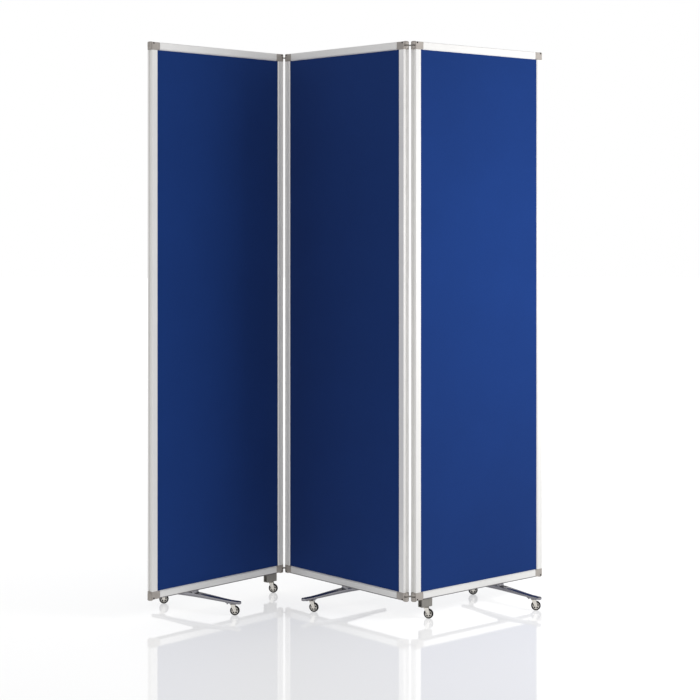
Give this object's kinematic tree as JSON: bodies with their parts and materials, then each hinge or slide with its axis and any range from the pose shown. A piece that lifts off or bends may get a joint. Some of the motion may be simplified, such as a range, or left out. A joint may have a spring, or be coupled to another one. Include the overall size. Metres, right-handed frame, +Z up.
{
  "type": "folding privacy screen",
  "caption": "Folding ward privacy screen: felt-faced leaves in aluminium frames, joined by link hinges, standing on cross feet with swivel castors.",
  "frame": {"origin": "on the floor under the middle of the bounding box of the half-folded screen", "axes": "+X to the viewer's right across the three leaves, +Y away from the viewer, +Z up"},
  "size_m": [1.332, 0.4704, 1.8662],
  "materials": {
    "frame": "satin anodised",
    "corner": "fine moulded grain",
    "felt": "short-pile blue felt",
    "link": "blackened",
    "foot": "polished",
    "block": "fine moulded grain",
    "fork": "bright plated",
    "hub": "smooth moulded",
    "tyre": "smooth black"
  },
  "bodies": {
    "middle_leaf": {"middle_left_stile": "frame", "middle_right_stile": "frame", "middle_bottom_rail": "frame", "middle_top_rail": "frame", "middle_bottom_left_corner": "corner", "middle_bottom_right_corner": "corner", "middle_top_left_corner": "corner", "middle_top_right_corner": "corner", "middle_board": "felt", "middle_foot": "foot"},
    "hinge_1_links": {"hinge_1_top_link": "link", "hinge_1_bottom_link": "link"},
    "left_leaf": {"left_left_stile": "frame", "left_right_stile": "frame", "left_bottom_rail": "frame", "left_top_rail": "frame", "left_bottom_left_corner": "corner", "left_bottom_right_corner": "corner", "left_top_left_corner": "corner", "left_top_right_corner": "corner", "left_board": "felt", "left_foot": "foot", "left_castor_block": "block"},
    "hinge_2_links": {"hinge_2_top_link": "link", "hinge_2_bottom_link": "link"},
    "right_leaf": {"right_left_stile": "frame", "right_right_stile": "frame", "right_bottom_rail": "frame", "right_top_rail": "frame", "right_bottom_left_corner": "corner", "right_bottom_right_corner": "corner", "right_top_left_corner": "corner", "right_top_right_corner": "corner", "right_board": "felt", "right_foot": "foot", "right_castor_block": "block"},
    "left_front_fork": {"left_front_fork": "fork"},
    "left_front_wheel": {"left_front_hub": "hub", "left_front_tyre": "tyre"},
    "left_rear_fork": {"left_rear_fork": "fork"},
    "left_rear_wheel": {"left_rear_hub": "hub", "left_rear_tyre": "tyre"},
    "left_block_fork": {"left_block_fork": "fork"},
    "left_block_wheel": {"left_block_hub": "hub", "left_block_tyre": "tyre"},
    "middle_front_fork": {"middle_front_fork": "fork"},
    "middle_front_wheel": {"middle_front_hub": "hub", "middle_front_tyre": "tyre"},
    "right_front_fork": {"right_front_fork": "fork"},
    "right_front_wheel": {"right_front_hub": "hub", "right_front_tyre": "tyre"},
    "right_rear_fork": {"right_rear_fork": "fork"},
    "right_rear_wheel": {"right_rear_hub": "hub", "right_rear_tyre": "tyre"},
    "right_block_fork": {"right_block_fork": "fork"},
    "right_block_wheel": {"right_block_hub": "hub", "right_block_tyre": "tyre"}
  },
  "joints": [
    {"name": "hinge_1_middle_pin", "type": "hinge", "parent": "middle_leaf", "child": "hinge_1_links", "pos_m": [-0.21028, 0.2252, 0.9345], "axis": [0, 0, 1], "range_deg": [-92.85, 42.15]},
    {"name": "hinge_1_left_pin", "type": "hinge", "parent": "hinge_1_links", "child": "left_leaf", "pos_m": [-0.23627, 0.22568, 0.9345], "axis": [0, 0, 1], "range_deg": [-92.85, 42.15]},
    {"name": "hinge_2_middle_pin", "type": "hinge", "parent": "middle_leaf", "child": "hinge_2_links", "pos_m": [0.18086, -0.22317, 0.9345], "axis": [0, 0, 1], "range_deg": [-89.9, 45.1]},
    {"name": "hinge_2_right_pin", "type": "hinge", "parent": "hinge_2_links", "child": "right_leaf", "pos_m": [0.2068, -0.22498, 0.9345], "axis": [0, 0, 1], "range_deg": [-89.9, 45.1]},
    {"name": "left_front_swivel", "type": "hinge", "parent": "left_leaf", "child": "left_front_fork", "pos_m": [-0.385, -0.14913, 0.041], "axis": [0, 0, 1], "continuous": true},
    {"name": "left_front_roll", "type": "hinge", "parent": "left_front_fork", "child": "left_front_wheel", "pos_m": [-0.37403, -0.1499, 0.01575], "axis": [0.0698, 0.9976, 0], "continuous": true},
    {"name": "left_rear_swivel", "type": "hinge", "parent": "left_leaf", "child": "left_rear_fork", "pos_m": [-0.63313, 0.0195, 0.041], "axis": [0, 0, 1], "continuous": true},
    {"name": "left_rear_roll", "type": "hinge", "parent": "left_rear_fork", "child": "left_rear_wheel", "pos_m": [-0.62219, 0.02065, 0.01575], "axis": [-0.1045, 0.9945, 0], "continuous": true},
    {"name": "left_block_swivel", "type": "hinge", "parent": "left_leaf", "child": "left_block_fork", "pos_m": [-0.27084, 0.18886, 0.041], "axis": [0, 0, 1], "continuous": true},
    {"name": "left_block_roll", "type": "hinge", "parent": "left_block_fork", "child": "left_block_wheel", "pos_m": [-0.26008, 0.18658, 0.01575], "axis": [0.2079, 0.9781, 0], "continuous": true},
    {"name": "middle_front_swivel", "type": "hinge", "parent": "middle_leaf", "child": "middle_front_fork", "pos_m": [-0.12709, -0.09834, 0.041], "axis": [0, 0, 1], "continuous": true},
    {"name": "middle_front_roll", "type": "hinge", "parent": "middle_front_fork", "child": "middle_front_wheel", "pos_m": [-0.11651, -0.10138, 0.01575], "axis": [0.2756, 0.9613, 0], "continuous": true},
    {"name": "right_front_swivel", "type": "hinge", "parent": "right_leaf", "child": "right_front_fork", "pos_m": [0.60598, -0.07753, 0.041], "axis": [0, 0, 1], "continuous": true},
    {"name": "right_front_roll", "type": "hinge", "parent": "right_front_fork", "child": "right_front_wheel", "pos_m": [0.61687, -0.07906, 0.01575], "axis": [0.1392, 0.9903, 0], "continuous": true},
    {"name": "right_rear_swivel", "type": "hinge", "parent": "right_leaf", "child": "right_rear_fork", "pos_m": [0.41759, 0.15594, 0.041], "axis": [0, 0, 1], "continuous": true},
    {"name": "right_rear_roll", "type": "hinge", "parent": "right_rear_fork", "child": "right_rear_wheel", "pos_m": [0.42856, 0.15671, 0.01575], "axis": [-0.0698, 0.9976, 0], "continuous": true},
    {"name": "right_block_swivel", "type": "hinge", "parent": "right_leaf", "child": "right_block_fork", "pos_m": [0.24497, -0.19192, 0.041], "axis": [0, 0, 1], "continuous": true},
    {"name": "right_block_roll", "type": "hinge", "parent": "right_block_fork", "child": "right_block_wheel", "pos_m": [0.25564, -0.19458, 0.01575], "axis": [0.2419, 0.9703, 0], "continuous": true}
  ]
}
